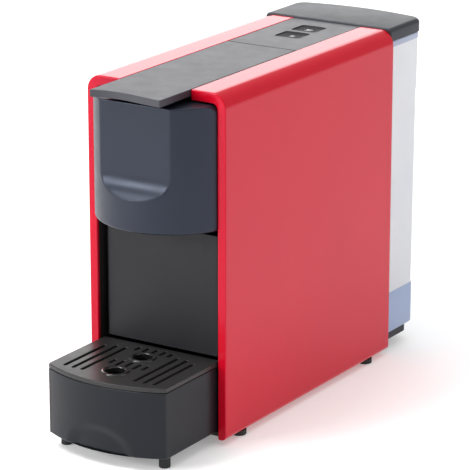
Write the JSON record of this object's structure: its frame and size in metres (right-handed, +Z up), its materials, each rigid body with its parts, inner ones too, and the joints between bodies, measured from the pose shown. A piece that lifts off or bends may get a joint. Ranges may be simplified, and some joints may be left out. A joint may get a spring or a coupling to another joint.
{
  "type": "capsule espresso machine",
  "caption": "Narrow capsule espresso machine with a lift-up lever, glossy side covers, drip tray, used-capsule bin and rear water tank.",
  "frame": {"origin": "on the table, under the middle of the machine's bounding box", "axes": "+X to the right seen from the front, -Y to the front (drip tray side), +Z up"},
  "size_m": [0.112, 0.355, 0.25],
  "materials": {
    "red_gloss": "high gloss",
    "charcoal_satin": "fine satin grain",
    "dark_satin": "fine satin grain",
    "black_matte": "moulded matte",
    "button_dark": "satin with pale icon",
    "lid_grey": "satin",
    "tank_clear": "translucent moulded plastic",
    "gloss_black": "polished",
    "rubber_black": "soft matte",
    "white_plastic": "natural moulded",
    "steel": "turned",
    "aluminium_cast": "cast",
    "board_green": "solder mask",
    "silicone_hose": "translucent silicone",
    "screw_steel": "zinc plated"
  },
  "bodies": {
    "housing": {"right_side_cover": "red_gloss", "left_side_cover": "red_gloss", "chassis_right": "black_matte", "chassis_left": "black_matte", "base_plate": "black_matte", "back_panel": "black_matte", "bay_wall": "black_matte", "tank_seat": "dark_satin", "cable_gland": "rubber_black", "head_cover": "charcoal_satin", "spout_nozzle": "dark_satin", "brew_deck": "black_matte", "top_deck": "dark_satin", "brew_cheek_left": "steel", "brew_cheek_right": "steel", "outlet_block": "white_plastic", "piercing_plate": "steel", "outlet_seal": "rubber_black", "hinge_pin": "steel", "thermoblock": "aluminium_cast", "thermostat": "steel", "water_pump": "dark_satin", "pump_mount_front": "rubber_black", "pump_mount_rear": "rubber_black", "flow_meter": "white_plastic", "tank_port": "white_plastic", "tank_hose": "silicone_hose", "pump_hose": "silicone_hose", "pressure_hose": "silicone_hose", "control_board": "board_green", "board_bridge": "black_matte", "button_panel": "lid_grey", "base_screws": "screw_steel", "foot_front_left": "rubber_black", "foot_front_right": "rubber_black", "foot_rear_left": "rubber_black", "foot_rear_right": "rubber_black"},
    "lever": {"lever_cover": "lid_grey", "lever_arm_left": "steel", "lever_arm_right": "steel"},
    "brew_carriage": {"brew_chamber": "dark_satin", "injector": "steel", "carriage_yoke": "dark_satin", "cam_pin": "steel", "guide_pin": "steel"},
    "short_coffee_button": {"short_coffee_button": "button_dark"},
    "long_coffee_button": {"long_coffee_button": "button_dark"},
    "tray": {"drip_tray": "charcoal_satin", "tray_feet": "rubber_black"},
    "grille": {"drip_grille": "dark_satin", "cup_ring_front": "gloss_black", "cup_ring_rear": "gloss_black"},
    "bin": {"capsule_bin": "dark_satin"},
    "tank": {"water_tank": "tank_clear", "tank_valve": "white_plastic"},
    "lid": {"tank_lid": "lid_grey"}
  },
  "joints": [
    {"name": "lever_hinge", "type": "hinge", "parent": "housing", "child": "lever", "pos_m": [0, 0.025, 0.2415], "axis": [-1, 0, 0], "range_deg": [0, 75]},
    {"name": "carriage_slide", "type": "slide", "parent": "housing", "child": "brew_carriage", "axis": [0, 1, 0], "range_m": [0, 0.024]},
    {"name": "short_coffee_press", "type": "slide", "parent": "housing", "child": "short_coffee_button", "axis": [0, 0, -1], "range_m": [0, 0.0015], "stiffness_N_per_m": 400},
    {"name": "long_coffee_press", "type": "slide", "parent": "housing", "child": "long_coffee_button", "axis": [0, 0, -1], "range_m": [0, 0.0015], "stiffness_N_per_m": 400},
    {"name": "tray_slide", "type": "slide", "parent": "housing", "child": "tray", "axis": [0, -1, 0], "range_m": [0, 0.175]},
    {"name": "grille_lift", "type": "slide", "parent": "tray", "child": "grille", "axis": [0, 0, 1], "range_m": [0, 0.03]},
    {"name": "bin_slide", "type": "slide", "parent": "housing", "child": "bin", "axis": [0, -1, 0], "range_m": [0, 0.095]},
    {"name": "tank_lift", "type": "slide", "parent": "housing", "child": "tank", "axis": [0, 0, 1], "range_m": [0, 0.06]},
    {"name": "lid_lift", "type": "slide", "parent": "tank", "child": "lid", "axis": [0, 0, 1], "range_m": [0, 0.04]}
  ],
  "couplings": [
    {"joint": "carriage_slide", "follows": "lever_hinge", "m_per_rad": 0.018335}
  ]
}
